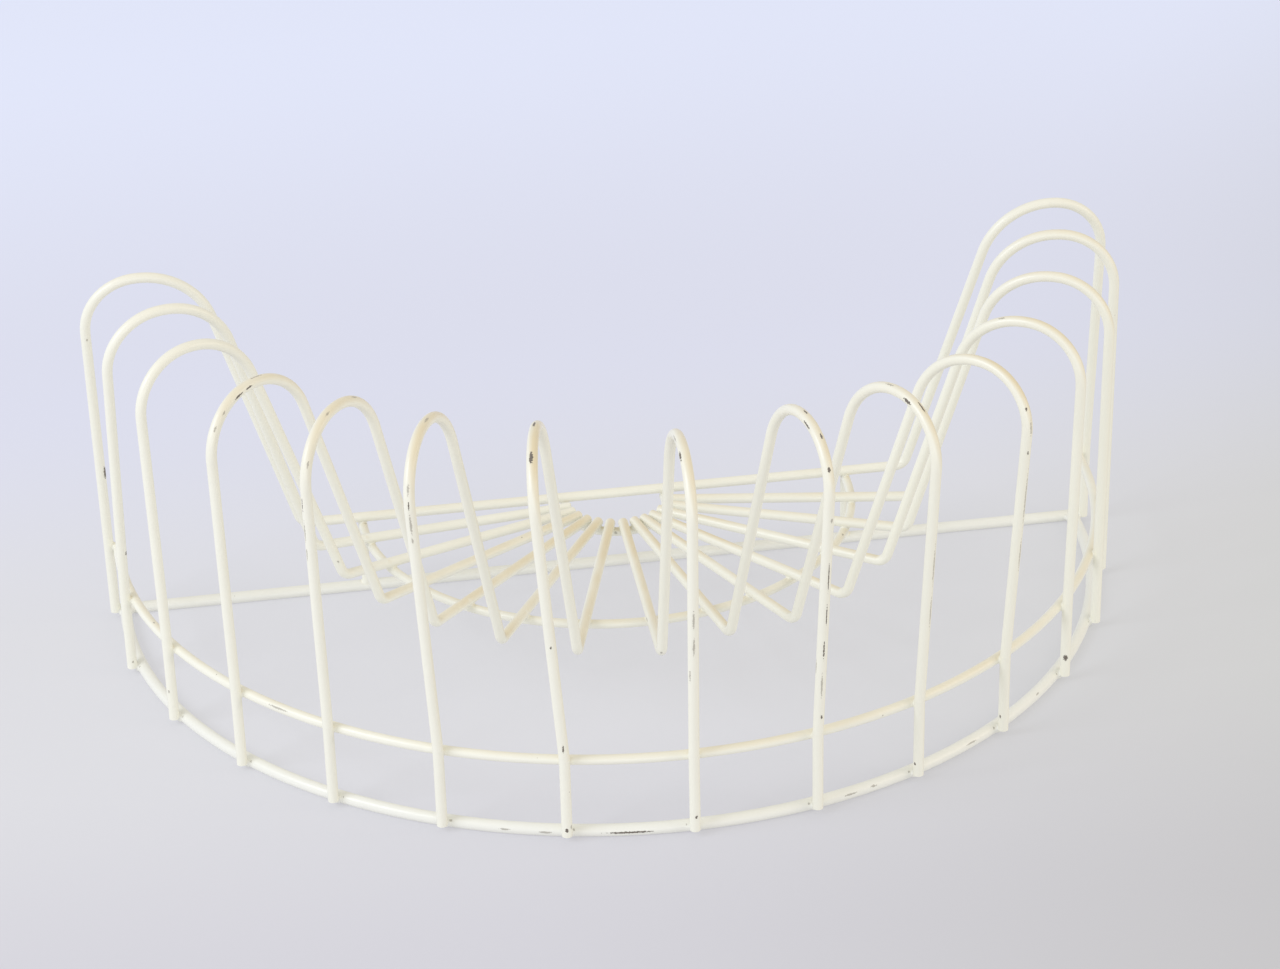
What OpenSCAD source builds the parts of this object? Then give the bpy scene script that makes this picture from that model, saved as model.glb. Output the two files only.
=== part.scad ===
// Half-round wire plate stand: a fan of welded wire hoops on a D-shaped wire foot.
// +Z is up, the straight back faces +Y, and the origin lies on the surface that the
// stand rests on, below the middle of the whole object.

/* [Wire] */
// Diameter of the hoop wire
hoop_wire_d = 4.5; // [3.5:0.1:5]
// Diameter of the wire that stands on the surface
base_wire_d = 5.2; // [4:0.1:7]
// Diameter of the upper ring's wire
upper_wire_d = 4.2; // [2.5:0.1:6]
// Diameter of the mid ring's and hub ring's wire
tie_wire_d = 4.0; // [3:0.1:6]
// Diameter of the two short back posts
post_wire_d = 4.0; // [3:0.1:5]
// How far two crossing wires are pressed into each other at a weld
weld_set = 0.25; // [0.15:0.05:0.3]
// Depth of the flat worn along the underside of the floor wires
base_flat = 0.15; // [0.05:0.05:0.4]

/* [Foot] */
// Radius of the half-round floor ring, to the middle of its wire
base_r = 222; // [180:1:280]
// Height of the upper ring above the surface, to the middle of its wire
upper_z = 36.5; // [20:0.5:37]
// Height of the legs' cut lower ends above the surface
leg_end_z = 3; // [1:0.1:4]

/* [Hoops] */
// Height of the hoops' tops above the surface
hoop_h = 172.5; // [140:0.5:240]
// Rise of each free hoop's top above that height, from left to right
hoop_lifts = [5, 0, -0.5, 1.5, 2, 2, -4, -1, -2.5, -6.5, -6, -3, -1]; // [-7:0.5:7]
// Radius of the outer shoulder of a hoop, to the middle of its wire
outer_bend_r = 24.5; // [18:0.5:32]
// Radius of the inner shoulder of a hoop, to the middle of its wire
inner_bend_r = 30.5; // [20:0.5:40]
// Straight run between the two shoulders, along the top
top_run = 1; // [1:0.5:8]
// Outward lean of the legs, in degrees
leg_lean = 0; // [0:0.5:3]
// Slant of the inner legs away from upright, in degrees
inner_lean = 16.5; // [12:0.5:20]
// Slant of each free hoop's inner leg over and above that, from left to right, in degrees
hoop_slants = [0.5, 2, 2, 1, 0, -2, -3, 0, -2, -1, 0, 0, 0]; // [-3:0.5:3]
// Radius of the bend between an inner leg and its spoke
foot_bend_r = 5.5; // [5:0.5:12]
// Height of the spokes above the surface, to the middle of their wire
spoke_z = 39; // [36:0.5:60]

/* [Fan] */
// Radius of the ring that ties the spokes together, to the middle of its wire
mid_r = 112; // [70:1:120]
// Radius of the small ring at the hub, to the middle of its wire
hub_r = 23; // [22.5:0.5:30]
// How far the hub lies to the right of the fan's centre
hub_right = 3.5; // [-4:0.5:4]
// How far the hub lies in front of the fan's centre
hub_forward = 7; // [5:0.5:9]
// How far the spokes run on inwards past the hub ring's middle
spoke_end_past = 1; // [0.5:0.5:1]
// How far the back wire stands behind the fan's centre
back_wire_y = 0; // [-1:0.1:1]
// Forward lean of the left and right end hoop above the back wire's straight run, in degrees
back_leans = [3.5, 5]; // [0:0.5:5]
// Sideways lean of each free hoop above its spoke, from left to right, in degrees
hoop_leans = [4.5, -1.5, -1, -1, -3, -4, 0.5, 2.5, 3.5, 6, 3, 1.5, 0]; // [-6:0.5:6]
// Turn of each free hoop from its even place in the fan, from left to right, in degrees
hoop_turns = [0.3, 0, -0.2, -0.3, -0.5, -0.2, 0.1, 0.5, 0, 0.1, 0.8, 0.4, 0]; // [-1:0.1:1]
// Swing of each free hoop's plane about its foot, from left to right, in degrees
hoop_swings = [4.5, 4, 4.5, 3.5, 2, 1, -0.5, 0, 1, 2, 1.5, 0, 0]; // [-5:0.5:5]

/* [Hidden] */

cream = [0.93, 0.91, 0.83];
shade_cream = [0.88, 0.84, 0.74];

wire_sides = 32;
ring_sides = 120;
bend_sides = 96;

// Even steps between the left end hoop, the free hoops and the right end hoop
hoop_step = 180 / (len(hoop_leans) + 1);

hoop_r = hoop_wire_d / 2;
base_wire_r = base_wire_d / 2;
upper_wire_r = upper_wire_d / 2;
tie_wire_r = tie_wire_d / 2;
post_r = post_wire_d / 2;

// Bent wire swells a hair, and straight runs end just inside the bends
bend_swell = 0.02;
bend_wire_r = hoop_r + bend_swell;
bend_lap = 0.2;
// A wire is kinked at the height of the spokes, in a ball a hair wider than the wire
kink_r = hoop_r + 0.05;
kink_gap = 0.1;

// Floor wires sit so that the worn flat lies on the surface
base_z = base_wire_r - base_flat;
// The floor bar lies against the ring's cut ends, and is as long as the ring is wide
bar_y = base_wire_r - weld_set;
bar_half = base_r + base_wire_r;

// Legs stand against the outside of the floor ring, and the upper ring inside the legs
leg_foot_r = base_r + base_wire_r + hoop_r - weld_set;
leg_x0 = leg_foot_r - base_z * tan(leg_lean);
upper_r = leg_x0 + upper_z * tan(leg_lean)
        - (hoop_r + upper_wire_r - weld_set) / cos(leg_lean);

// Hoop outline in its own plane: x is the distance from the fan's centre, z is up
foot_c_z = spoke_z + foot_bend_r;
spoke_end_r = hub_r - spoke_end_past;
// The kink lies at the spoke's height, where every lean starts
kink_x = leg_x0 + spoke_z * tan(leg_lean);
lower_leg_len = (spoke_z - leg_end_z) / cos(leg_lean);

// Middle of a hoop's outer shoulder, for a hoop with the given lift
function outer_c_z(lift) = hoop_h + lift - hoop_r - outer_bend_r;
function outer_c_x(lift) =
  leg_x0 + outer_c_z(lift) * tan(leg_lean) - outer_bend_r / cos(leg_lean);

// Top end of a hoop's inner leg
function inner_top_x(lift, slant) =
  outer_c_x(lift) - top_run - inner_bend_r * cos(inner_lean + slant);
function inner_top_z(lift, slant) =
  hoop_h + lift - hoop_r - inner_bend_r + inner_bend_r * sin(inner_lean + slant);
function inner_leg_len(lift, slant) =
  (inner_top_z(lift, slant) - foot_c_z + foot_bend_r * sin(inner_lean + slant))
  / cos(inner_lean + slant);

// Where the bottom bend ends and the spoke starts
function spoke_x(lift, slant) =
  inner_top_x(lift, slant) - inner_leg_len(lift, slant) * sin(inner_lean + slant)
  - foot_bend_r * cos(inner_lean + slant);

// Ties lie under the spokes
tie_z = spoke_z - hoop_r - tie_wire_r + weld_set;
// Posts stand on the floor bar, behind the mid ring's cut ends
post_y = post_r;

// The box runs from the front hoop's leg to the back of the floor bar
front_lift = hoop_lifts[floor(len(hoop_lifts) / 2)];
front_reach = max(kink_x + kink_r, outer_c_x(front_lift) + outer_bend_r + bend_wire_r);
back_reach = bar_y + base_wire_r;
fan_y = (front_reach - back_reach) / 2;

// Larger than any piece, for trimming
big = 4 * (base_r + hoop_h);

// Half of a round wire ring, lying flat in front of the fan's centre
module half_ring(radius, wire_r, height) {
  translate([0, fan_y, height])
    rotate([0, 0, 180])
      rotate_extrude(angle = 180, $fn = ring_sides)
        translate([radius, 0])
          circle(r = wire_r, $fn = wire_sides);
}

// Everything below the given height is cut away
module cut_below(height) {
  difference() {
    children();
    translate([-big / 2, -big / 2, height - big])
      cube(big);
  }
}

// Straight run of hoop wire along +Z, longer by a lap at each end
module straight(length, from_lap, to_lap) {
  translate([0, 0, -from_lap])
    cylinder(h = length + from_lap + to_lap, r = hoop_r, $fn = wire_sides);
}

// Bend in the plane of a hoop, from one angle to another about its centre
module bend(centre_x, centre_z, radius, from_angle, to_angle) {
  translate([centre_x, 0, centre_z])
    rotate([90, 0, 0])
      rotate([0, 0, from_angle])
        rotate_extrude(angle = to_angle - from_angle, $fn = bend_sides)
          translate([radius, 0])
            circle(r = bend_wire_r, $fn = wire_sides);
}

// Leg below the kink, with the ball that the kink turns in
module lower_leg() {
  translate([kink_x, 0, spoke_z]) {
    sphere(r = kink_r, $fn = wire_sides);
    rotate([0, 180 + leg_lean, 0])
      straight(lower_leg_len + hoop_wire_d, -kink_gap, 0);
  }
}

// Everything above the spoke: upper leg, round top, inner leg and bottom bend
module arch(lift, slant) {
  inner_c_x = outer_c_x(lift) - top_run;
  inner_c_z = outer_c_z(lift) + outer_bend_r - inner_bend_r;
  translate([kink_x, 0, spoke_z])
    rotate([0, leg_lean, 0])
      straight((outer_c_z(lift) - spoke_z) / cos(leg_lean) - outer_bend_r * tan(leg_lean),
               -kink_gap, bend_lap);
  bend(outer_c_x(lift), outer_c_z(lift), outer_bend_r, -leg_lean, 90);
  translate([inner_c_x, 0, outer_c_z(lift) + outer_bend_r])
    rotate([0, 90, 0])
      straight(top_run, bend_lap, bend_lap);
  bend(inner_c_x, inner_c_z, inner_bend_r, 90, 180 - inner_lean - slant);
  translate([inner_top_x(lift, slant), 0, inner_top_z(lift, slant)])
    rotate([0, 180 + inner_lean + slant, 0])
      straight(inner_leg_len(lift, slant), bend_lap, bend_lap);
  bend(spoke_x(lift, slant), foot_c_z, foot_bend_r, -90, -inner_lean - slant);
}

// The arch, leaned about the level line through its kink
module leaned_arch(lean, lift, slant) {
  translate([0, 0, spoke_z])
    rotate([lean, 0, 0])
      translate([0, 0, -spoke_z])
        arch(lift, slant);
}

// Leg and arch, with their plane swung about the leg
module swung(swing) {
  translate([leg_foot_r, 0, 0])
    rotate([0, 0, swing])
      translate([-leg_foot_r, 0, 0])
        children();
}

// Straight run from the kink after the bottom bend in to the hub, which lies at the given
// place as seen from the hoop's foot
module spoke(start_x, start_y, hub_x, hub_y) {
  away = norm([hub_x - start_x, hub_y - start_y]);
  translate([start_x, start_y, spoke_z])
    rotate([0, 0, atan2(hub_y - start_y, hub_x - start_x)])
      rotate([0, 90, 0]) {
        // The ball's poles lie along the wire, clear of the thin band that shows
        sphere(r = kink_r, $fn = wire_sides);
        straight(away - spoke_end_r, -kink_gap, 0);
      }
}

// One free hoop, counted from the one next to the left end hoop
module hoop(place) {
  angle = 180 + (place + 1) * hoop_step + hoop_turns[place];
  swing = hoop_swings[place];
  start = spoke_x(hoop_lifts[place], hoop_slants[place]) - leg_foot_r;
  color(cream)
    translate([0, fan_y, 0])
      rotate([0, 0, angle])
        cut_below(leg_end_z) {
          swung(swing) {
            lower_leg();
            leaned_arch(-hoop_leans[place], hoop_lifts[place], hoop_slants[place]);
          }
          spoke(leg_foot_r + start * cos(swing), start * sin(swing),
                hub_right * cos(angle) - hub_forward * sin(angle),
                -hub_right * sin(angle) - hub_forward * cos(angle));
        }
}

// The straight run of the back wire, between the two end hoops
module back_run() {
  half = spoke_x(0, 0);
  translate([-half, fan_y + back_wire_y, spoke_z])
    rotate([0, 90, 0])
      straight(2 * half, bend_lap, bend_lap);
}

module end_hoop(lean) {
  lower_leg();
  leaned_arch(lean, 0, 0);
}

module floor_bar() {
  translate([-bar_half, fan_y + bar_y, base_z])
    rotate([0, 90, 0])
      cylinder(h = 2 * bar_half, r = base_wire_r, $fn = wire_sides);
}

module base_ring() {
  color(shade_cream)
    cut_below(0)
      half_ring(base_r, base_wire_r, base_z);
}

module back_floor_bar() {
  color(shade_cream)
    cut_below(0)
      floor_bar();
}

module upper_ring() {
  color(shade_cream)
    half_ring(upper_r, upper_wire_r, upper_z);
}

module back_hoops() {
  color(cream)
    cut_below(leg_end_z) {
      translate([0, fan_y + back_wire_y, 0]) {
        end_hoop(back_leans[1]);
        mirror([1, 0, 0])
          end_hoop(back_leans[0]);
      }
      back_run();
    }
}

module mid_ring() {
  color(shade_cream)
    half_ring(mid_r, tie_wire_r, tie_z);
}

// Half ring in front, with two straight ends that run back under the back wire
module hub_ring() {
  color(shade_cream)
    translate([hub_right, -hub_forward, 0]) {
      half_ring(hub_r, tie_wire_r + bend_swell, tie_z);
      for (side = [-1, 1])
        translate([side * hub_r, fan_y + hub_forward + back_wire_y, tie_z])
          rotate([90, 0, 0])
            cylinder(h = hub_forward + back_wire_y + bend_lap, r = tie_wire_r, $fn = wire_sides);
    }
}

// Short upright behind one end of the mid ring, coped over the wires that it meets
module back_post(side) {
  color(shade_cream)
    difference() {
      translate([side * mid_r, fan_y + post_y, base_z])
        cylinder(h = spoke_z - base_z, r = post_r, $fn = wire_sides);
      floor_bar();
      back_run();
    }
}

base_ring();
back_floor_bar();
upper_ring();
back_hoops();
hoop(0);  // hoop_02
hoop(1);  // hoop_03
hoop(2);  // hoop_04
hoop(3);  // hoop_05
hoop(4);  // hoop_06
hoop(5);  // hoop_07
hoop(6);  // hoop_08
hoop(7);  // hoop_09
hoop(8);  // hoop_10
hoop(9);  // hoop_11
hoop(10);  // hoop_12
hoop(11);  // hoop_13
hoop(12);  // hoop_14
mid_ring();
hub_ring();
back_post(-1);  // left_back_post
back_post(1);  // right_back_post
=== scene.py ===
import math
import random

import bpy
from mathutils import Matrix, Vector


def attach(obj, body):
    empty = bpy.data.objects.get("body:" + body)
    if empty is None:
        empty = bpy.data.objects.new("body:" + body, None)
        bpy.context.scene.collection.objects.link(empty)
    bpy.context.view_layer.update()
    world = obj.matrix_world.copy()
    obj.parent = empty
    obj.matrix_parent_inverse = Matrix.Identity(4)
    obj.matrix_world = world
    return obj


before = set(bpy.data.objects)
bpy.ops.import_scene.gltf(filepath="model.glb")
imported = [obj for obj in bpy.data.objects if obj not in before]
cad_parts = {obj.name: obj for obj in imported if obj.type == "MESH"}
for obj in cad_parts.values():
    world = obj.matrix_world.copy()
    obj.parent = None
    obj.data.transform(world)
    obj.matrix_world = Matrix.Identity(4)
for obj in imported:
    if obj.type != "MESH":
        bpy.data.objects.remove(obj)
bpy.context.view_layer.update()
bpy.ops.object.select_all(action="DESELECT")

MM = 0.001

# Sizes of the stand in millimetres, as in the part's source: radii of the wires, and how deep two
# wires are set into each other at a weld
hoop_wire_r = 2.25
base_wire_r = 2.6
upper_wire_r = 2.1
tie_wire_r = 2.0
post_wire_r = 2.0
weld_set = 0.25

# The fan's centre behind the origin, and the radii and heights of the wires' middles; the floor
# bar and the posts lie behind the fan's centre, and the hub lies to its right and in front of it
fan_y = 111.975
base_r = 222
base_z = 2.45
bar_y = 2.35
upper_r = 222.5
upper_z = 36.5
leg_end_z = 3
spoke_z = 39
mid_r = 112
hub_r = 23
hub_right = 3.5
hub_forward = 7
spoke_end_r = 22
post_y = 2

# The hoops' even spacing about the fan's centre in degrees, and each free hoop's turn from it
hoop_step = 180 / 14
hoop_turns = [0.3, 0, -0.2, -0.3, -0.5, -0.2, 0.1, 0.5, 0, 0.1, 0.8, 0.4, 0]

# Angle of every hoop's foot about the fan's centre, left end hoop first
hoop_angles = [180]
for number, turn in enumerate(hoop_turns):
    hoop_angles.append(180 + (number + 1) * hoop_step + turn)
hoop_angles.append(360)

# Sizes of the finish in millimetres: the patches of yellowing, the ragged edges of chips, the
# spacing and radius of the pinholes, the orange peel and the slow sags in the paint
patch_size = 45
edge_size = 0.7
pin_spacing = 16
pin_r = 0.33
peel_size = 1.5
sag_size = 8

# Tones of what shows where the paint is worn: rubbed paint, and steel that has gone grey-brown
rubbed_tone = "#8E8779"
dark_steel, light_steel = "#413C38", "#958B7E"

# Where the painted shade, a tan tint, lies: on faces that look this way, and above this height in
# millimetres, up to the height at which it is full
shade_side = (0.45, -0.1, 0.88)
top_shade_from, top_shade_to = 130, 172

# Materials


def srgb(text):
    """Turns a hex colour as seen on a screen into the linear colour that shaders take."""
    parts = [int(text[i:i + 2], 16) / 255 for i in (1, 3, 5)]
    linear = [p / 12.92 if p <= 0.04045 else ((p + 0.055) / 1.055) ** 2.4 for p in parts]
    return (*linear, 1)


def scale_of(size):
    """Turns the size of a pattern's features in millimetres into the pattern's scale."""
    return 1 / (size * MM)


def add_node(tree, kind, inputs=None, **settings):
    """Adds one node, with its settings, and sets or links each of its named inputs."""
    made = tree.nodes.new(kind)
    for key, value in settings.items():
        setattr(made, key, value)
    for key, value in (inputs or {}).items():
        if isinstance(value, bpy.types.NodeSocket):
            tree.links.new(value, made.inputs[key])
        else:
            made.inputs[key].default_value = value
    return made


def nearest_mark(tree, place, marks):
    """Gives how far a point lies from the nearest of many balls drawn out along the wire, in ball
    radii; each mark is a centre, a direction, a length and a width in millimetres."""
    nearest = None
    for centre, along, length, width in marks:
        turn = Vector(along).to_track_quat("X", "Z").to_euler()
        local = add_node(tree, "ShaderNodeMapping", {
            "Vector": place,
            "Location": Vector(centre) * MM,
            "Rotation": turn,
            "Scale": Vector((length / 2, width / 2, width / 2)) * MM}, vector_type="TEXTURE")
        away = add_node(tree, "ShaderNodeVectorMath", {0: local.outputs[0]}, operation="LENGTH")
        if nearest is None:
            nearest = away.outputs["Value"]
        else:
            nearest = add_node(tree, "ShaderNodeMath", {0: nearest, 1: away.outputs["Value"]},
                               operation="MINIMUM").outputs[0]
    return nearest


def dipped_enamel(name, paint, shade_tone, strength, chips=(), scuffs=()):
    """Air-dried cream enamel over steel wire: satin gloss, a little orange peel and sag, a tan
    painted shade on the sides turned up and away from the window, knocked off in chips that show
    dark oxidised steel, and rubbed thin in narrow scuffs."""
    mat = bpy.data.materials.new(name)
    mat.use_nodes = True
    tree = mat.node_tree
    tree.nodes.clear()
    place = add_node(tree, "ShaderNodeTexCoord").outputs["Object"]

    # Painted shade, a tan tint: strongest on faces turned up and to the right, in soft patches, and
    # all round the hoops' tops
    normal = add_node(tree, "ShaderNodeNewGeometry").outputs["Normal"]
    shaded = add_node(tree, "ShaderNodeVectorMath", {0: normal, 1: shade_side},
                      operation="DOT_PRODUCT")
    facing = add_node(tree, "ShaderNodeMapRange", {
        "Value": shaded.outputs["Value"], "From Min": 0.3, "From Max": 0.95, "To Min": 0.0,
        "To Max": strength})
    patches = add_node(tree, "ShaderNodeTexNoise", {
        "Vector": place, "Scale": scale_of(patch_size), "Detail": 3.0})
    patch = add_node(tree, "ShaderNodeMapRange", {
        "Value": patches.outputs[0], "From Min": 0.35, "From Max": 0.65, "To Min": 0.55,
        "To Max": 1.25})
    height = add_node(tree, "ShaderNodeSeparateXYZ", {0: place})
    top_shade = add_node(tree, "ShaderNodeMapRange", {
        "Value": height.outputs["Z"], "From Min": top_shade_from * MM, "From Max": top_shade_to * MM,
        "To Min": 0.0, "To Max": 0.15 * strength})
    painted_shade = add_node(tree, "ShaderNodeMath", {
        0: facing.outputs[0], 1: patch.outputs[0], 2: top_shade.outputs[0]},
        operation="MULTIPLY_ADD", use_clamp=True)
    body = add_node(tree, "ShaderNodeMix", {
        0: painted_shade.outputs[0], 6: srgb(paint), 7: srgb(shade_tone)}, data_type="RGBA")

    # Ragged edges, shared by chips and scuffs
    ragged = add_node(tree, "ShaderNodeTexNoise", {
        "Vector": place, "Scale": scale_of(edge_size), "Detail": 4.0})
    edge = add_node(tree, "ShaderNodeMapRange", {
        "Value": ragged.outputs[0], "From Min": 0.3, "From Max": 0.7, "To Min": -0.45,
        "To Max": 0.45})

    # Pinholes, two or three to a hoop, and the scuffs: paint rubbed thin
    cells = add_node(tree, "ShaderNodeTexVoronoi", {
        "Vector": place, "Scale": scale_of(pin_spacing)})
    worn = add_node(tree, "ShaderNodeMath", {
        0: cells.outputs["Distance"], 1: pin_spacing / pin_r}, operation="MULTIPLY").outputs[0]
    if scuffs:
        worn = add_node(tree, "ShaderNodeMath", {0: worn, 1: nearest_mark(tree, place, scuffs)},
                        operation="MINIMUM").outputs[0]
    worn_edge = add_node(tree, "ShaderNodeMath", {0: worn, 1: edge.outputs[0]}, operation="ADD")
    scuffed = add_node(tree, "ShaderNodeMapRange", {
        "Value": worn_edge.outputs[0], "From Min": 1.2, "From Max": 0.7, "To Min": 0.0,
        "To Max": 0.6})
    rubbed = add_node(tree, "ShaderNodeMix", {
        0: scuffed.outputs[0], 6: body.outputs[2], 7: srgb(rubbed_tone)}, data_type="RGBA")
    colour = rubbed.outputs[2]
    chipped = None
    if chips:
        rough_edge = add_node(tree, "ShaderNodeMath", {
            0: nearest_mark(tree, place, chips), 1: edge.outputs[0]}, operation="ADD")
        chipped = add_node(tree, "ShaderNodeMapRange", {
            "Value": rough_edge.outputs[0], "From Min": 1.1, "From Max": 0.85, "To Min": 0.0,
            "To Max": 1.0}).outputs[0]
        rust = add_node(tree, "ShaderNodeMix", {
            0: ragged.outputs[0], 6: srgb(dark_steel), 7: srgb(light_steel)}, data_type="RGBA")
        colour = add_node(tree, "ShaderNodeMix", {
            0: chipped, 6: rubbed.outputs[2], 7: rust.outputs[2]}, data_type="RGBA").outputs[2]

    # Orange peel, slow sags, and the chips' sunk floors
    peel = add_node(tree, "ShaderNodeTexNoise", {
        "Vector": place, "Scale": scale_of(peel_size), "Detail": 1.0})
    sag = add_node(tree, "ShaderNodeTexNoise", {
        "Vector": place, "Scale": scale_of(sag_size), "Detail": 1.0})
    fine = add_node(tree, "ShaderNodeBump", {
        "Height": peel.outputs[0], "Strength": 0.35, "Distance": 0.00006})
    slow = add_node(tree, "ShaderNodeBump", {
        "Height": sag.outputs[0], "Strength": 0.6, "Distance": 0.0003, "Normal": fine.outputs[0]})
    skin = slow.outputs[0]
    gloss = add_node(tree, "ShaderNodeMapRange", {
        "Value": peel.outputs[0], "From Min": 0.3, "From Max": 0.7, "To Min": 0.3, "To Max": 0.42})
    sheen = gloss.outputs[0]
    if chips:
        skin = add_node(tree, "ShaderNodeBump", {
            "Height": chipped, "Strength": 0.8, "Distance": 0.00015, "Normal": skin},
            invert=True).outputs[0]
        sheen = add_node(tree, "ShaderNodeMix", {0: chipped, 2: sheen, 3: 0.62},
                         data_type="FLOAT").outputs[0]
    shader = add_node(tree, "ShaderNodeBsdfPrincipled", {
        "Base Color": colour,
        "Roughness": sheen,
        "Normal": skin,
        "Coat Weight": 0.15,
        "Coat Roughness": 0.18})
    add_node(tree, "ShaderNodeOutputMaterial", {"Surface": shader.outputs[0]})
    return mat


# Chips that have knocked the enamel off: each one's middle on the wire's skin, the way it runs,
# its length and its width, in millimetres
upright = (0, 0, 1)
chips = {
    "back_hoops": [
        ((-224.6, 108.6, 75.3), (0, -0.06, 1), 5.5, 1.8)],
    "hoop_02": [
        ((-218.1, 57.5, 61.6), (0.02, -0.07, 1), 2.6, 1.0)],
    "hoop_04": [
        ((-165.6, -17.7, 168.6), (0.68, 0.64, 0.35), 5.0, 1.0),
        ((-161.2, -13.6, 170.0), (0.73, 0.68, 0.08), 4.0, 0.9)],
    "hoop_05": [
        ((-145.7, -64.6, 141.2), upright, 6, 0.5)],
    "hoop_06": [
        ((-105.9, -91.0, 150.8), (0, 0.13, 0.99), 4.5, 0.6)],
    "hoop_07": [
        ((-54.0, -76.5, 173.7), (0.22, 0.96, -0.17), 5.5, 1.0),
        ((-58.2, -96.9, 170.1), (0.14, 0.83, 0.53), 6, 1.5),
        ((-55.0, -110.3, 92.1), (-0.07, 0.01, 1), 1.2, 0.8),
        ((-51.8, -111.0, 45.0), (-0.07, 0.01, 1), 3.2, 0.8),
        ((-51.5, -111.0, 6.6), upright, 1.8, 1.2)],
    "hoop_08": [
        ((-0.5, -99.2, 165.6), (0.01, 0.93, 0.35), 4.4, 1.3),
        ((0.7, -116.9, 10.2), upright, 1.5, 1.0)],
    "hoop_09": [
        ((52.4, -83.3, 171.4), (0.23, -0.97, -0.01), 3.6, 0.8),
        ((51.4, -89.7, 169.0), (-0.21, 0.95, 0.24), 6, 0.8),
        ((55.8, -97.2, 167.2), (-0.17, 0.83, 0.53), 2.2, 1.0),
        ((56.9, -106.6, 157.1), (-0.07, 0.46, 0.88), 1.8, 1.4),
        ((56.2, -109.9, 111.0), (0.04, 0.01, 1), 12, 0.5),
        ((55.4, -110.1, 94.2), (0.04, 0.01, 1), 9, 0.5),
        ((54.3, -110.4, 78.6), (0.04, 0.01, 1), 8, 0.6),
        ((53.4, -110.6, 47.4), (0.04, 0.01, 1), 1.8, 1.0)],
    "hoop_10": [
        ((95.4, -74.0, 167.0), (-0.42, 0.87, 0.28), 4.6, 1.3),
        ((100.4, -78.7, 166.2), (-0.36, 0.79, 0.50), 6.5, 0.6),
        ((96.5, -93.6, 9.0), upright, 1.3, 0.9)],
    "hoop_11": [
        ((149.0, -57.7, 150.1), (-0.21, 0.39, 0.90), 1.6, 1.0),
        ((149.5, -60.8, 131.6), (0.08, 0.07, 0.99), 1.5, 0.8),
        ((139.8, -66.3, 10.2), upright, 1.3, 0.9)],
    "hoop_12": [
        ((178.5, -29.0, 12.6), upright, 2.6, 1.8)],
    "base_ring": [
        ((-26.1, -111.1, 2.5), (0.99, -0.12, 0), 19, 0.9)],
    "upper_ring": [
        ((-220.4, 74.1, 38.3), (0.17, -0.99, 0), 1.8, 0.8)],
}
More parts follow.
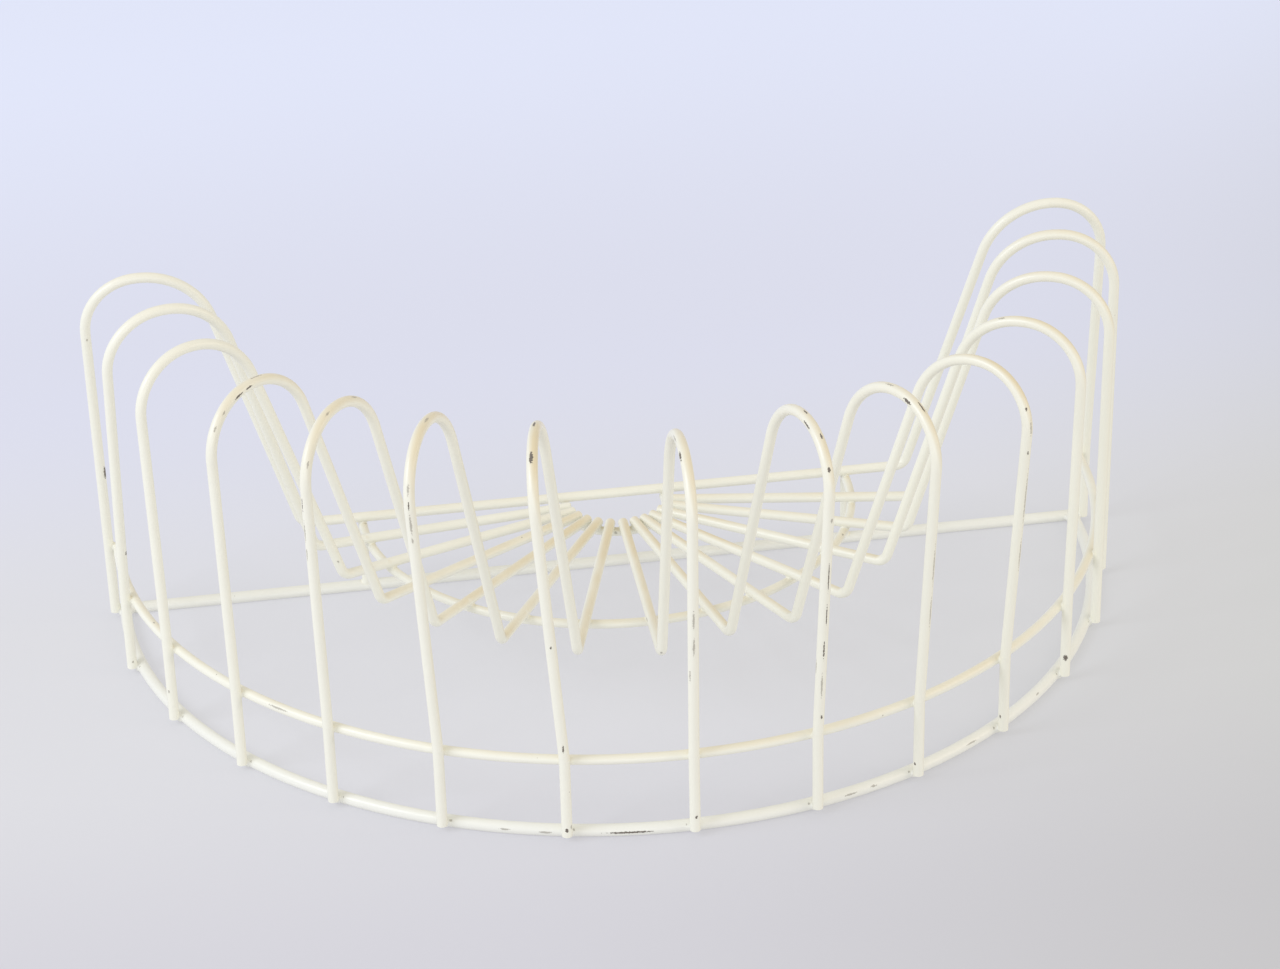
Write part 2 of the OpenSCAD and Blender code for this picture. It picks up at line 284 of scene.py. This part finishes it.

# Scuffs where the enamel is only rubbed thin, given in the same way; those on the mid ring and the
# hub ring are darker spots where other wires cross them
scuffs = {
    "back_hoops": [
        ((-226.1, 103.4, 143.0), (0, -0.06, 1), 1.2, 0.8),
        ((-224.5, 111.0, 35.4), upright, 2, 0.9)],
    "hoop_02": [
        ((-220.1, 58.2, 6.6), upright, 1.2, 1.0)],
    "hoop_03": [
        ((-127.3, 55.3, 48.3), (-0.29, -0.14, 0.95), 1.2, 0.9),
        ((-205.5, 11.8, 17.4), upright, 1.5, 1.0)],
    "hoop_04": [
        ((-158.0, -7.7, 171.9), (0.73, 0.68, -0.10), 12, 0.7),
        ((-176.4, -26.7, 159.3), (0.38, 0.37, 0.85), 2.4, 0.8),
        ((-172.3, -23.4, 164.5), (0.54, 0.52, 0.66), 2.0, 0.8)],
    "hoop_05": [
        ((-120.6, -32.3, 170.8), (-0.53, -0.74, 0.41), 4.5, 1.0),
        ((-132.4, -49.1, 172.8), (0.56, 0.79, 0.24), 2.6, 0.8),
        ((-142.2, -63.5, 158.5), (0.24, 0.36, 0.90), 3.0, 0.8),
        ((-145.5, -64.7, 129.2), upright, 9, 0.8),
        ((-145.3, -64.8, 119.6), upright, 5, 0.8)],
    "hoop_06": [
        ((-94.7, -64.6, 174.2), (0.41, 0.91, -0.03), 4.6, 1.0),
        ((-105.6, -89.4, 157.1), (0.10, 0.34, 0.93), 4.5, 0.9),
        ((-105.5, -91.3, 142.8), (-0.05, 0.02, 1), 8, 0.9),
        ((-105.2, -91.5, 135.6), (-0.05, 0.02, 1), 2.4, 0.8)],
    "hoop_07": [
        ((-49.5, -110.4, 7.8), upright, 2.2, 0.9)],
    "hoop_08": [
        ((-0.4, -87.0, 167.0), (0.01, 1, -0.07), 6.5, 0.8),
        ((0.8, -116.9, 101.9), (0.01, 0, 1), 7.5, 0.9),
        ((0.7, -116.9, 89.8), (0.01, 0, 1), 7.5, 0.9),
        ((-1.0, -116.2, 76.5), (0.01, 0, 1), 5.0, 0.8),
        ((-0.8, -6.1, 39.5), (0.02, 1, 0), 4.5, 0.8),
        ((0.4, -36.9, 40.7), (0, -0.49, 0.87), 1.6, 1.2)],
    "hoop_09": [
        ((57.4, -109.6, 136.2), (0.04, 0.01, 1), 1.8, 1.0),
        ((53.4, -110.6, 61.8), (0.04, 0.01, 1), 10, 0.8),
        ((51.4, -108.7, 70.3), (0.04, 0.01, 1), 7, 0.7)],
    "hoop_10": [
        ((91.1, -62.4, 169.3), (0.45, -0.88, 0.13), 5, 0.8),
        ((103.2, -92.3, 101.9), (0.05, 0.03, 1), 18, 0.8),
        ((102.0, -92.9, 80.1), (0.05, 0.03, 1), 15, 0.7)],
    "hoop_11": [
        ((150.8, -59.8, 142.0), (0, 0.16, 0.99), 10, 0.8),
        ((148.8, -61.7, 111.1), (0.08, 0.07, 0.99), 22, 0.8),
        ((146.8, -63.5, 85.8), (0.08, 0.07, 0.99), 14, 0.7)],
    "hoop_12": [
        ((153.3, -1.1, 164.4), (0.77, -0.55, 0.32), 3.6, 1.0)],
    "base_ring": [
        ((-75.5, -99.5, 2.9), (0.94, -0.34, 0), 4, 0.8),
        ((-59.4, -104.6, 2.6), (0.96, -0.26, 0), 6, 0.9),
        ((125.7, -73.8, 3.6), (0.83, 0.56, 0), 6, 0.8),
        ((78.1, -98.3, 3.6), (0.94, 0.35, 0), 2.6, 1.1),
        ((67.5, -102.1, 3.3), (0.95, 0.30, 0), 5.5, 0.9),
        ((163.1, -41.7, 4.0), (0.69, 0.73, 0), 2.4, 0.8)],
    "upper_ring": [
        ((-161.4, -43.9, 37.5), (0.69, -0.72, 0), 10, 0.9),
        ((-203.9, 18.9, 37.8), (0.42, -0.91, 0), 2.0, 1.2),
        ((-209.0, 35.1, 38.6), (0.35, -0.94, 0), 1.4, 0.8)],
    "mid_ring": [
        ((-111.6, 93.5, 36.7), (0.16, -0.99, 0), 1.6, 1.0),
        ((-105.0, 68.8, 36.3), (0.38, -0.92, 0), 1.6, 1.0),
        ((98.5, 56.1, 36.5), (0.49, 0.87, 0), 1.6, 1.0),
        ((-111.2, 110.6, 36.8), (0, -1, 0), 3.0, 1.8)],
    "hub_ring": [
        ((-19.4, 109.2, 37.0), (0, -1, 0), 1.4, 1.0),
        ((-0.6, 80.4, 35.4), (0.99, -0.17, 0), 1.4, 1.0),
        ((14.9, 82.8, 35.6), (0.89, 0.46, 0), 1.4, 1.0),
        ((20.4, 87.2, 36.3), (0.73, 0.69, 0), 1.4, 1.0)],
}

# Spatter burns on the floor wire beside each foot weld, on the side nearer the middle of the fan's
# front and on the wire's upper outer face; the front hoop's own burn lies on its left
front_angle = 264
spot_r = base_r + 0.8 * base_wire_r
spot_z = base_z + 0.6 * base_wire_r
random.seed(11)
foot_spots = []
for angle in hoop_angles[1:-1]:
    side = 1 if angle < front_angle else -1
    theta = math.radians(angle + side * random.uniform(0.75, 1.0))
    foot_spots.append((
        (spot_r * math.cos(theta), fan_y + spot_r * math.sin(theta), spot_z),
        (-math.sin(theta), math.cos(theta), 0), random.uniform(1.2, 2.0), random.uniform(0.9, 1.3)))

# Paint of each node, the tan tone of its painted shade, and how strong its painted shade and warm
# painted reflection are: weakest on the hoops on the left; the wires on the floor are whiter than
# the rest
cream, shade_amber = "#F3F2E4", "#E3D5B2"
floor_cream, floor_shade_amber = "#EFEFE6", "#E6DFC8"
shade_strength = {
    "base_ring": 0.25, "back_floor_bar": 0.3, "upper_ring": 0.5, "mid_ring": 0.6, "hub_ring": 0.8,
    "left_back_post": 0.5, "right_back_post": 0.5, "back_hoops": 0.3, "hoop_02": 0.2,
    "hoop_03": 0.3, "hoop_04": 0.7, "hoop_12": 0.75, "hoop_13": 0.7, "hoop_14": 0.6}
for name, node_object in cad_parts.items():
    tones = (cream, shade_amber)
    if name in ("base_ring", "back_floor_bar"):
        tones = (floor_cream, floor_shade_amber)
    enamel = dipped_enamel("cream_enamel_on_" + name, *tones, shade_strength.get(name, 0.85),
                           chips.get(name, ()), scuffs.get(name, ()))
    for material_slot in node_object.material_slots:
        material_slot.material = enamel

# Enamels for the weld beads, each with its own strength of painted shade
floor_enamel = dipped_enamel("cream_enamel_on_floor_welds", floor_cream, floor_shade_amber, 0.25, (),
                             foot_spots)
tie_enamel = dipped_enamel("cream_enamel_on_tie_welds", cream, shade_amber, 0.6)

# Weld beads

# Size in millimetres of the grid on which the lengths of wire melt together, passes of smoothing,
# share of the triangles that stay, how far a bead keeps clear of the floor in millimetres, and how
# near the height of the trim a point counts as on it
melt_grid = 0.32
flow_passes = 14
thin_share = 0.35
floor_gap = 0.05
trim_near = 0.001

# How far a length of wire reaches from its weld in millimetres: along the rings, along the spokes,
# along the hub ring, at the corners, up a leg above the upper ring, and along a post
ring_reach = 4
spoke_reach = 3.4
hub_reach = 2.4
corner_reach = 5
leg_reach = 3
post_reach = 6

# How far the paint rounds past a wire's cut end in millimetres: a leg's, the floor bar's, the base
# ring's, the upper, mid and hub rings', and a spoke's; a post stops short of the back wire's middle
leg_past = 0.2
bar_past = 0.3
ring_past = 0.5
tie_past = 0.4
spoke_past = 0.5
post_short = 0.2


def stub(radius, axis, start, end, offset):
    """Adds a short length of wire along a local axis, between two places on it."""
    middle = Vector(offset)
    turn = (0, 0, 0)
    if axis == "X":
        turn = (0, math.radians(90), 0)
        middle = middle + Vector(((start + end) / 2, 0, 0))
    if axis == "Y":
        turn = (math.radians(90), 0, 0)
        middle = middle + Vector((0, (start + end) / 2, 0))
    if axis == "Z":
        middle = middle + Vector((0, 0, (start + end) / 2))
    bpy.ops.mesh.primitive_cylinder_add(
        vertices=48, radius=radius * MM, depth=(end - start) * MM,
        location=middle * MM, rotation=turn)
    return bpy.context.object


def bead(name, stubs, nugget, nugget_at=(0, 0, 0), floor_below=None):
    """Melts short lengths of crossing wire and a nugget of weld metal into one filleted bead, and
    trims it where the floor is."""
    parts = [stub(*one) for one in stubs]
    bpy.ops.mesh.primitive_uv_sphere_add(segments=32, ring_count=16, radius=MM)
    nugget_object = bpy.context.object
    bpy.ops.object.mode_set(mode="EDIT")
    bpy.ops.mesh.select_all(action="SELECT")
    bpy.ops.transform.resize(value=nugget)
    bpy.ops.transform.translate(value=Vector(nugget_at) * MM)
    bpy.ops.object.mode_set(mode="OBJECT")
    for part in parts:
        part.select_set(True)
    bpy.context.view_layer.objects.active = nugget_object
    bpy.ops.object.join()
    made = bpy.context.object
    made.name = name
    bpy.ops.object.transform_apply(location=True, rotation=True, scale=True)
    melt = made.modifiers.new("melt", "REMESH")
    melt.mode = "VOXEL"
    melt.voxel_size = melt_grid * MM
    bpy.ops.object.modifier_apply(modifier="melt")
    flow = made.modifiers.new("flow", "SMOOTH")
    flow.factor = 0.5
    flow.iterations = flow_passes
    bpy.ops.object.modifier_apply(modifier="flow")
    thin = made.modifiers.new("thin", "DECIMATE")
    thin.ratio = thin_share
    bpy.ops.object.modifier_apply(modifier="thin")
    if floor_below is not None:
        bpy.ops.object.mode_set(mode="EDIT")
        bpy.ops.mesh.select_all(action="SELECT")
        bpy.ops.mesh.bisect(plane_co=(0, 0, floor_below * MM), plane_no=(0, 0, 1), use_fill=True,
                            clear_inner=True, threshold=trim_near * MM)
        bpy.ops.object.mode_set(mode="OBJECT")
    bpy.ops.object.shade_smooth()
    bpy.ops.object.select_all(action="DESELECT")
    return made


def around(angles, radius, height, centre=(0, 0)):
    """Lists places on a circle about the fan's centre, each facing outwards along its local Y."""
    places = []
    for angle in angles:
        theta = math.radians(angle)
        places.append((centre[0] + radius * math.cos(theta), centre[1] + radius * math.sin(theta),
                       height, angle - 90))
    return places


def spoke_angle(node_object):
    """Gives the angle about the hub at which a hoop's spoke runs, read at its cut inner end."""
    hub = Vector((hub_right, fan_y - hub_forward)) * MM
    rim = Vector((0, 0))
    for vertex in node_object.data.vertices:
        away = vertex.co.xy - hub
        if away.length < (spoke_end_r + 0.5) * MM:
            rim += away
    return math.degrees(math.atan2(rim.y, rim.x)) % 360


def mid_angle(angle):
    """Gives the angle about the fan's centre at which a spoke crosses the mid ring."""
    along = Vector((math.cos(math.radians(angle)), math.sin(math.radians(angle))))
    hub = Vector((hub_right, -hub_forward))
    inward = hub.dot(along)
    crossing = hub + along * (math.sqrt(inward ** 2 + mid_r ** 2 - hub.length_squared) - inward)
    return math.degrees(math.atan2(crossing.y, crossing.x)) % 360


def set_copies(name, patterns, enamel):
    """Copies each bead to its places about the fan's centre and joins all copies as one piece."""
    copies = []
    for pattern, places in patterns:
        for x, y, z, heading in places:
            copy = pattern.copy()
            copy.data = pattern.data.copy()
            bpy.context.collection.objects.link(copy)
            copy.matrix_world = (Matrix.Translation(Vector((x, fan_y + y, z)) * MM)
                                 @ Matrix.Rotation(math.radians(heading), 4, "Z"))
            copies.append(copy)
    for pattern, _ in patterns:
        bpy.data.objects.remove(pattern)
    bpy.ops.object.select_all(action="DESELECT")
    for copy in copies:
        copy.select_set(True)
    bpy.context.view_layer.objects.active = copies[0]
    bpy.ops.object.join()
    bpy.ops.object.transform_apply(location=True, rotation=True, scale=True)
    piece = bpy.context.object
    piece.name = name
    piece.data.materials.clear()
    piece.data.materials.append(enamel)
    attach(piece, "root")
    bpy.ops.object.select_all(action="DESELECT")
    return piece


half_set = weld_set / 2
tie_top = spoke_z - hoop_wire_r + half_set
upper_weld_r = upper_r + upper_wire_r - half_set
bead_floor = floor_gap - base_z
spoke_angles = [spoke_angle(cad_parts["hoop_%02d" % number]) for number in range(2, 15)]

# Each foot: a leg against the outside of the base ring, its cut end rounded over with paint
foot_bead = bead("foot_bead", [
    (base_wire_r, "X", -ring_reach, ring_reach, (0, half_set - base_wire_r, 0)),
    (hoop_wire_r, "Z", leg_end_z - base_z - leg_past, corner_reach,
     (0, hoop_wire_r - half_set, 0)),
], (2.3, 1.1, 2.0), floor_below=bead_floor)
set_copies("foot_weld_beads", [
    (foot_bead, around(hoop_angles, base_r + base_wire_r - half_set, base_z))],
    floor_enamel)

# Each corner: the base ring's cut end against the front of the floor bar, and the bar's own end
right_corner = bead("right_corner", [
    (base_wire_r, "X", -corner_reach, base_wire_r + bar_past, (0, bar_y, 0)),
    (base_wire_r, "Y", -corner_reach, ring_past, (0, 0, 0)),
], (2.4, 2.0, 1.6), (-1.6, -0.8, 0), floor_below=bead_floor)
left_corner = bead("left_corner", [
    (base_wire_r, "X", -base_wire_r - bar_past, corner_reach, (0, bar_y, 0)),
    (base_wire_r, "Y", -corner_reach, ring_past, (0, 0, 0)),
], (2.4, 2.0, 1.6), (1.6, -0.8, 0), floor_below=bead_floor)
set_copies("corner_weld_beads", [
    (right_corner, [(base_r, 0, base_z, 0)]), (left_corner, [(-base_r, 0, base_z, 0)])],
    floor_enamel)

# The upper ring against the inside of each leg, with its two cut ends at the end hoops
upper_nugget = (2.0, 1.0, 2.0)
leg_stub = (hoop_wire_r, "Z", -ring_reach, leg_reach, (0, hoop_wire_r - half_set, 0))
upper_bead = bead("upper_bead", [
    (upper_wire_r, "X", -ring_reach, ring_reach, (0, half_set - upper_wire_r, 0)),
    leg_stub,
], upper_nugget)
left_upper_end = bead("left_upper_end", [
    (upper_wire_r, "X", -ring_reach, tie_past, (0, half_set - upper_wire_r, 0)),
    leg_stub,
], upper_nugget)
right_upper_end = bead("right_upper_end", [
    (upper_wire_r, "X", -tie_past, ring_reach, (0, half_set - upper_wire_r, 0)),
    leg_stub,
], upper_nugget)
set_copies("upper_ring_weld_beads", [
    (upper_bead, around(hoop_angles[1:-1], upper_weld_r, upper_z)),
    (left_upper_end, around([180], upper_weld_r, upper_z)),
    (right_upper_end, around([360], upper_weld_r, upper_z))],
    tie_enamel)

# The mid ring below each spoke, which crosses it a few degrees off square
mid_bead = bead("mid_bead", [
    (tie_wire_r, "X", -spoke_reach, spoke_reach, (0, 0, half_set - tie_wire_r)),
    (hoop_wire_r, "Y", -spoke_reach, spoke_reach, (0, 0, hoop_wire_r - half_set)),
], (2.0, 2.0, 1.0))
mid_places = []
for angle in spoke_angles:
    crossing = mid_angle(angle)
    x, y, z, _ = around([crossing], mid_r, tie_top)[0]
    mid_places.append((x, y, z, (crossing + angle) / 2 - 90))
set_copies("mid_ring_weld_beads", [(mid_bead, mid_places)], tie_enamel)

# The hub ring below each spoke, whose cut inner end is rounded over with paint
hub_bead = bead("hub_bead", [
    (tie_wire_r, "X", -hub_reach, hub_reach, (0, 0, half_set - tie_wire_r)),
    (hoop_wire_r, "Y", spoke_end_r - hub_r - spoke_past, ring_reach,
     (0, 0, hoop_wire_r - half_set)),
], (1.9, 1.9, 1.0))
set_copies("hub_ring_weld_beads", [
    (hub_bead, around(spoke_angles, hub_r, tie_top, (hub_right, -hub_forward)))],
    tie_enamel)

# The mid ring's and the hub ring's cut ends below the back wire
tie_end = bead("tie_end", [
    (tie_wire_r, "Y", -ring_reach, tie_past, (0, 0, half_set - tie_wire_r)),
    (hoop_wire_r, "X", -spoke_reach, spoke_reach, (0, 0, hoop_wire_r - half_set)),
], (1.9, 1.6, 1.0))

# Each post's head behind the back wire, and its foot on the floor bar
post_head = bead("post_head", [
    (hoop_wire_r, "X", -spoke_reach, spoke_reach, (0, 0, 0)),
    (post_wire_r, "Z", -post_reach, -post_short, (0, post_y, 0)),
], (1.8, 1.5, 1.6), (0, post_y - 0.4, -1.8))
post_foot = bead("post_foot", [
    (base_wire_r, "X", -ring_reach, ring_reach, (0, bar_y, 0)),
    (post_wire_r, "Z", 0, post_reach, (0, post_y, 0)),
], (2.3, 2.2, 1.2), (0, post_y, base_wire_r), floor_below=bead_floor)
set_copies("back_weld_beads", [
    (tie_end, [(-mid_r, 0, tie_top, 0), (mid_r, 0, tie_top, 0),
               (hub_right - hub_r, 0, tie_top, 0), (hub_right + hub_r, 0, tie_top, 0)]),
    (post_head, [(-mid_r, 0, spoke_z, 0), (mid_r, 0, spoke_z, 0)]),
    (post_foot, [(-mid_r, 0, base_z, 0), (mid_r, 0, base_z, 0)])],
    tie_enamel)

# Floor, light and camera

# Tones of the board, which paint light and shade on it: in front, then each blended in over a
# stretch of its depth in metres as painted light, and the painted shade on its right side
board_front = "#D6D5DC"
board_light_bands = ((-0.2, 0.0, "#E0E0E4"), (0.08, 0.35, "#DFE1F0"), (0.35, 0.85, "#E7ECFF"))
board_right_shade = "#EEEEE7"

bpy.ops.mesh.primitive_plane_add(size=40, location=(0, 0, 0))
floor = bpy.context.object
floor.name = "floor"
floor_mat = bpy.data.materials.new("matt_pale_board")
floor_mat.use_nodes = True
floor_tree = floor_mat.node_tree
floor_tree.nodes.clear()
# The board runs from neutral grey in front to cooler and paler at the back as painted light, and is
# darker and warmer to the right as painted shade; half of its light is its own, which keeps shadows
# soft
spot = add_node(floor_tree, "ShaderNodeTexCoord").outputs["Object"]
across = add_node(floor_tree, "ShaderNodeSeparateXYZ", {0: spot})
board = srgb(board_front)
for start, end, tone in board_light_bands:
    depth = add_node(floor_tree, "ShaderNodeMapRange", {
        "Value": across.outputs[1], "From Min": start, "From Max": end},
        interpolation_type="SMOOTHSTEP")
    board = add_node(floor_tree, "ShaderNodeMix", {
        0: depth.outputs[0], 6: board, 7: srgb(tone)}, data_type="RGBA").outputs[2]
slant = add_node(floor_tree, "ShaderNodeMath", {
    0: across.outputs[1], 1: -0.6, 2: across.outputs[0]}, operation="MULTIPLY_ADD")
side = add_node(floor_tree, "ShaderNodeMapRange", {
    "Value": slant.outputs[0], "From Min": -0.03, "From Max": 0.47},
    interpolation_type="SMOOTHSTEP")
toned = add_node(floor_tree, "ShaderNodeMix", {
    0: side.outputs[0], 6: board, 7: srgb(board_right_shade)}, data_type="RGBA", blend_type="MULTIPLY")
matt = add_node(floor_tree, "ShaderNodeBsdfPrincipled", {
    "Base Color": toned.outputs[2], "Roughness": 0.9, "Specular IOR Level": 0.2})
lit = add_node(floor_tree, "ShaderNodeEmission", {"Color": toned.outputs[2], "Strength": 1.0})
half = add_node(floor_tree, "ShaderNodeMixShader", {0: 0.5, 1: matt.outputs[0], 2: lit.outputs[0]})
add_node(floor_tree, "ShaderNodeOutputMaterial", {"Surface": half.outputs[0]})
floor.data.materials.append(floor_mat)

world = bpy.data.worlds.new("studio")
bpy.context.scene.world = world
world.use_nodes = True
world_tree = world.node_tree
world_tree.nodes.clear()
seen = add_node(world_tree, "ShaderNodeLightPath")
ambient = add_node(world_tree, "ShaderNodeBackground", {"Color": srgb("#FBFAFA"), "Strength": 0.76})
backdrop = add_node(world_tree, "ShaderNodeBackground", {
    "Color": srgb("#E4E8F8"), "Strength": 0.95})
both = add_node(world_tree, "ShaderNodeMixShader", {
    0: seen.outputs["Is Camera Ray"], 1: ambient.outputs[0], 2: backdrop.outputs[0]})
add_node(world_tree, "ShaderNodeOutputWorld", {"Surface": both.outputs[0]})


def softbox(name, place, aim, width, height, watts, tint):
    """Adds a soft rectangular lamp at a place in metres, aimed at a point."""
    data = bpy.data.lights.new(name, "AREA")
    data.shape = "RECTANGLE"
    data.size = width
    data.size_y = height
    data.energy = watts
    data.color = srgb(tint)[:3]
    lamp = bpy.data.objects.new(name, data)
    lamp.location = place
    lamp.rotation_euler = (Vector(aim) - Vector(place)).to_track_quat("-Z", "Y").to_euler()
    bpy.context.collection.objects.link(lamp)
    return lamp


softbox("window_left", (-2.1, -0.7, 1.6), (0, 0, 0.08), 1.4, 1.2, 26, "#EFF4FF")
softbox("bounce_front", (-0.3, -2.6, 0.5), (0, 0, 0.08), 2.4, 1.0, 9, "#FFFDF8")
softbox("bounce_right", (1.7, -0.6, 0.7), (0, 0, 0.08), 1.2, 1.0, 7, "#FFF3E2")

# The photo's camera: its place in millimetres, its focal length for a 36 mm wide frame, and how it
# is turned in degrees
camera_place = (-191.8, -1252.9, 771.7)
frame_width = 36
focal_length = 95.785
yaw = math.radians(8.645)
pitch = math.radians(-27.862)
roll = math.radians(-1.431)

camera_data = bpy.data.cameras.new("camera")
camera = bpy.data.objects.new("camera", camera_data)
bpy.context.collection.objects.link(camera)
bpy.context.scene.camera = camera
camera_data.sensor_fit = "HORIZONTAL"
camera_data.sensor_width = frame_width
camera_data.lens = focal_length
camera_data.clip_end = 100
ahead = Vector((math.sin(yaw) * math.cos(pitch), math.cos(yaw) * math.cos(pitch), math.sin(pitch)))
level_right = Vector((math.cos(yaw), -math.sin(yaw), 0))
level_up = level_right.cross(ahead)
right = level_right * math.cos(roll) + level_up * math.sin(roll)
up = level_up * math.cos(roll) - level_right * math.sin(roll)
turn = Matrix((right, up, -ahead)).transposed().to_4x4()
camera.matrix_world = Matrix.Translation(Vector(camera_place) * MM) @ turn

bpy.context.scene.view_settings.view_transform = "Standard"
